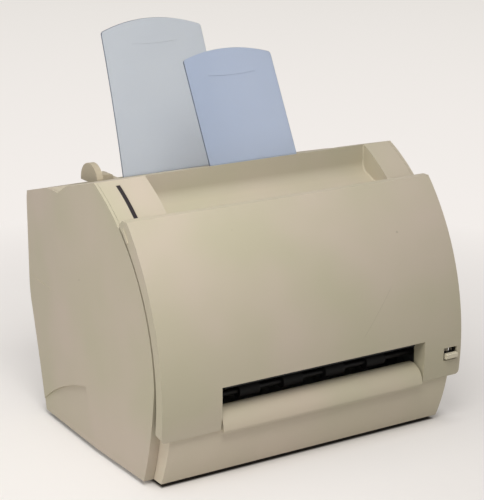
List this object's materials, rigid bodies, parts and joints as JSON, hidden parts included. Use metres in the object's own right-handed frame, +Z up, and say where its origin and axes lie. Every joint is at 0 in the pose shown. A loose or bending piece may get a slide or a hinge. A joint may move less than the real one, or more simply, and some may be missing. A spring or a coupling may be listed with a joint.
{
  "type": "laser printer",
  "caption": "Desktop laser printer with a hinged front cover, an upright paper hopper with sliding guides and two translucent blue paper supports.",
  "frame": {"origin": "on the ground plane under the middle of the overall box", "axes": "+X to the printer's right as seen from the front, +Y to the rear, +Z up"},
  "size_m": [0.369, 0.3624, 0.4094],
  "materials": {
    "shell": "fine grained warm grey moulding",
    "support": "pale blue translucent sheet",
    "rubber": "matte",
    "steel": "zinc plated",
    "inner_plastic": "satin",
    "gear_plastic": "natural acetal",
    "lens": "smoked clear",
    "drum_coat": "coated, smooth",
    "board": "lacquered",
    "mirror_metal": "polished",
    "motor_metal": "cast",
    "optic": "clear",
    "cork": "cork and rubber"
  },
  "bodies": {
    "chassis": {"base": "shell", "output_ramp": "shell", "left_side_cover": "shell", "right_side_cover": "shell", "top_cover": "shell", "rear_cover": "shell", "rubber_feet": "rubber", "hinge_pins": "steel", "hopper": "inner_plastic", "lift_springs": "steel", "separation_pad": "cork", "indicator_lens": "lens", "left_frame": "steel", "right_frame": "steel", "frame_stays": "steel", "screws": "steel", "main_motor": "steel", "fuser_cover": "inner_plastic", "toner_cartridge": "inner_plastic", "scanner_housing": "inner_plastic", "scanner_motor": "motor_metal", "scan_optics": "optic", "power_board": "board", "controller_board": "board", "power_inlet": "inner_plastic", "parallel_connector": "inner_plastic", "fan_frame": "inner_plastic"},
    "cover": {"front_cover": "shell", "cover_guide": "inner_plastic"},
    "selector": {"output_selector": "shell"},
    "flap": {"diverter_flap": "inner_plastic"},
    "eject_pinch_body": {"eject_pinch": "gear_plastic"},
    "lift": {"lift_plate": "steel"},
    "guide_left": {"left_paper_guide": "inner_plastic"},
    "guide_right": {"right_paper_guide": "inner_plastic"},
    "guide_gear": {"guide_pinion": "gear_plastic"},
    "support_front": {"front_paper_support": "support"},
    "support_rear": {"rear_paper_support": "support"},
    "drum": {"photo_drum": "drum_coat", "drum_gears": "gear_plastic"},
    "developer": {"developer_roller": "rubber"},
    "transfer": {"transfer_roller": "rubber"},
    "registration": {"registration_roller": "rubber"},
    "pinch": {"registration_pinch": "gear_plastic"},
    "pressure": {"pressure_roller": "rubber"},
    "film": {"fuser_film": "drum_coat"},
    "delivery": {"delivery_roller": "rubber"},
    "delivery_pinch_body": {"delivery_pinch": "gear_plastic"},
    "eject": {"eject_roller": "rubber"},
    "pickup": {"pickup_roller": "rubber"},
    "compound": {"compound_gear": "gear_plastic"},
    "lower_idler": {"lower_idler_gear": "gear_plastic"},
    "fuser_idler": {"fuser_idler_gear": "gear_plastic"},
    "delivery_idler": {"delivery_idler_gear": "gear_plastic"},
    "pickup_idler": {"pickup_idler_gear": "gear_plastic"},
    "eject_idler": {"eject_idler_gear": "gear_plastic"},
    "pinion": {"motor_pinion": "gear_plastic"},
    "mirror": {"polygon_mirror": "mirror_metal"},
    "fan": {"fan_impeller": "inner_plastic"},
    "switch": {"power_switch": "inner_plastic"}
  },
  "joints": [
    {"name": "cover_hinge", "type": "hinge", "parent": "chassis", "child": "cover", "pos_m": [0, -0.14904, 0.045], "axis": [1, 0, 0], "range_deg": [0, 80]},
    {"name": "selector_slide", "type": "slide", "parent": "cover", "child": "selector", "axis": [0, 0, 1], "range_m": [0, 0.0055]},
    {"name": "flap_turn", "type": "hinge", "parent": "cover", "child": "flap", "pos_m": [0, -0.16954, 0.1075], "axis": [1, 0, 0], "range_deg": [-0.5, 45.5]},
    {"name": "eject_pinch_spin", "type": "hinge", "parent": "cover", "child": "eject_pinch_body", "pos_m": [0.0105, -0.11332, 0.23044], "axis": [1, 0, 0], "continuous": true},
    {"name": "lift_plate_hinge", "type": "hinge", "parent": "chassis", "child": "lift", "pos_m": [0.01, 0.08552, 0.18886], "axis": [-1, 0, 0], "range_deg": [0, 2.5]},
    {"name": "left_guide_slide", "type": "slide", "parent": "chassis", "child": "guide_left", "axis": [1, 0, 0], "range_m": [-0.003, 0.05]},
    {"name": "right_guide_slide", "type": "slide", "parent": "chassis", "child": "guide_right", "axis": [1, 0, 0], "range_m": [-0.05, 0.003]},
    {"name": "guide_pinion_turn", "type": "hinge", "parent": "chassis", "child": "guide_gear", "pos_m": [0.0105, 0.1004, 0.20373], "axis": [0, -0.891, 0.454], "range_deg": [-287.5, 18.2]},
    {"name": "front_support_slide", "type": "slide", "parent": "chassis", "child": "support_front", "axis": [0, 0, 1], "range_m": [0, 0.018]},
    {"name": "rear_support_slide", "type": "slide", "parent": "chassis", "child": "support_rear", "axis": [0, 0.2723, 0.9622], "range_m": [0, 0.018]},
    {"name": "drum_spin", "type": "hinge", "parent": "chassis", "child": "drum", "pos_m": [0.0105, -0.07504, 0.106], "axis": [1, 0, 0], "continuous": true},
    {"name": "compound_spin", "type": "hinge", "parent": "chassis", "child": "compound", "pos_m": [0.0105, -0.06949, 0.13751], "axis": [1, 0, 0], "continuous": true},
    {"name": "pinion_spin", "type": "hinge", "parent": "chassis", "child": "pinion", "pos_m": [0.0105, -0.03744, 0.15601], "axis": [1, 0, 0], "continuous": true},
    {"name": "eject_idler_spin", "type": "hinge", "parent": "chassis", "child": "eject_idler", "pos_m": [0.0105, -0.08359, 0.19171], "axis": [1, 0, 0], "continuous": true},
    {"name": "eject_spin", "type": "hinge", "parent": "chassis", "child": "eject", "pos_m": [0.0105, -0.10304, 0.222], "axis": [1, 0, 0], "continuous": true},
    {"name": "lower_idler_spin", "type": "hinge", "parent": "chassis", "child": "lower_idler", "pos_m": [0.0105, -0.05956, 0.06803], "axis": [1, 0, 0], "continuous": true},
    {"name": "registration_spin", "type": "hinge", "parent": "chassis", "child": "registration", "pos_m": [0.0105, -0.02404, 0.094], "axis": [1, 0, 0], "continuous": true},
    {"name": "pinch_spin", "type": "hinge", "parent": "chassis", "child": "pinch", "pos_m": [0.0105, -0.02404, 0.1073], "axis": [1, 0, 0], "continuous": true},
    {"name": "pickup_idler_spin", "type": "hinge", "parent": "chassis", "child": "pickup_idler", "pos_m": [0.0105, 0.01027, 0.11253], "axis": [1, 0, 0], "continuous": true},
    {"name": "pickup_spin", "type": "hinge", "parent": "chassis", "child": "pickup", "pos_m": [0.0105, 0.03796, 0.14], "axis": [1, 0, 0], "continuous": true},
    {"name": "fuser_idler_spin", "type": "hinge", "parent": "chassis", "child": "fuser_idler", "pos_m": [0.0105, -0.10196, 0.04662], "axis": [1, 0, 0], "continuous": true},
    {"name": "pressure_spin", "type": "hinge", "parent": "chassis", "child": "pressure", "pos_m": [0.0105, -0.11904, 0.08], "axis": [1, 0, 0], "continuous": true},
    {"name": "film_spin", "type": "hinge", "parent": "chassis", "child": "film", "pos_m": [0.0105, -0.11904, 0.1], "axis": [1, 0, 0], "continuous": true},
    {"name": "delivery_idler_spin", "type": "hinge", "parent": "chassis", "child": "delivery_idler", "pos_m": [0.0105, -0.13465, 0.09551], "axis": [1, 0, 0], "continuous": true},
    {"name": "delivery_spin", "type": "hinge", "parent": "chassis", "child": "delivery", "pos_m": [0.0105, -0.14654, 0.082], "axis": [1, 0, 0], "continuous": true},
    {"name": "delivery_pinch_spin", "type": "hinge", "parent": "chassis", "child": "delivery_pinch_body", "pos_m": [0.0105, -0.14654, 0.0943], "axis": [1, 0, 0], "continuous": true},
    {"name": "transfer_spin", "type": "hinge", "parent": "chassis", "child": "transfer", "pos_m": [0.0105, -0.07504, 0.082], "axis": [1, 0, 0], "continuous": true},
    {"name": "developer_spin", "type": "hinge", "parent": "chassis", "child": "developer", "pos_m": [0.0105, -0.05296, 0.11404], "axis": [1, 0, 0], "continuous": true},
    {"name": "mirror_spin", "type": "hinge", "parent": "chassis", "child": "mirror", "pos_m": [0.0105, -0.00704, 0.2165], "axis": [0, 0, 1], "continuous": true},
    {"name": "fan_spin", "type": "hinge", "parent": "chassis", "child": "fan", "pos_m": [0.01, 0.07396, 0.038], "axis": [0, 1, 0], "continuous": true},
    {"name": "switch_rock", "type": "hinge", "parent": "chassis", "child": "switch", "pos_m": [-0.094, 0.08496, 0.0235], "axis": [1, 0, 0], "range_deg": [0, 14]}
  ],
  "couplings": [
    {"joint": "compound_spin", "follows": "drum_spin", "ratio": -1.1333},
    {"joint": "pinion_spin", "follows": "drum_spin", "ratio": 4.8571},
    {"joint": "eject_idler_spin", "follows": "drum_spin", "ratio": 1.3077},
    {"joint": "eject_spin", "follows": "drum_spin", "ratio": -3.4},
    {"joint": "lower_idler_spin", "follows": "drum_spin", "ratio": -0.70833},
    {"joint": "registration_spin", "follows": "drum_spin", "ratio": 0.85},
    {"joint": "pinch_spin", "follows": "drum_spin", "ratio": -0.99167},
    {"joint": "pickup_idler_spin", "follows": "drum_spin", "ratio": -0.89474},
    {"joint": "pickup_spin", "follows": "drum_spin", "ratio": 0.85},
    {"joint": "fuser_idler_spin", "follows": "drum_spin", "ratio": 0.7234},
    {"joint": "pressure_spin", "follows": "drum_spin", "ratio": -1.2143},
    {"joint": "film_spin", "follows": "drum_spin", "ratio": 1.1779},
    {"joint": "delivery_idler_spin", "follows": "drum_spin", "ratio": 2.125},
    {"joint": "delivery_spin", "follows": "drum_spin", "ratio": -1.7},
    {"joint": "delivery_pinch_spin", "follows": "drum_spin", "ratio": 2.38},
    {"joint": "transfer_spin", "follows": "drum_spin", "ratio": -1.6667},
    {"joint": "developer_spin", "follows": "drum_spin", "ratio": -1.7647},
    {"joint": "flap_turn", "follows": "selector_slide", "rad_per_m": 142.8},
    {"joint": "right_guide_slide", "follows": "left_guide_slide", "ratio": -1},
    {"joint": "guide_pinion_turn", "follows": "left_guide_slide", "rad_per_m": -100}
  ]
}
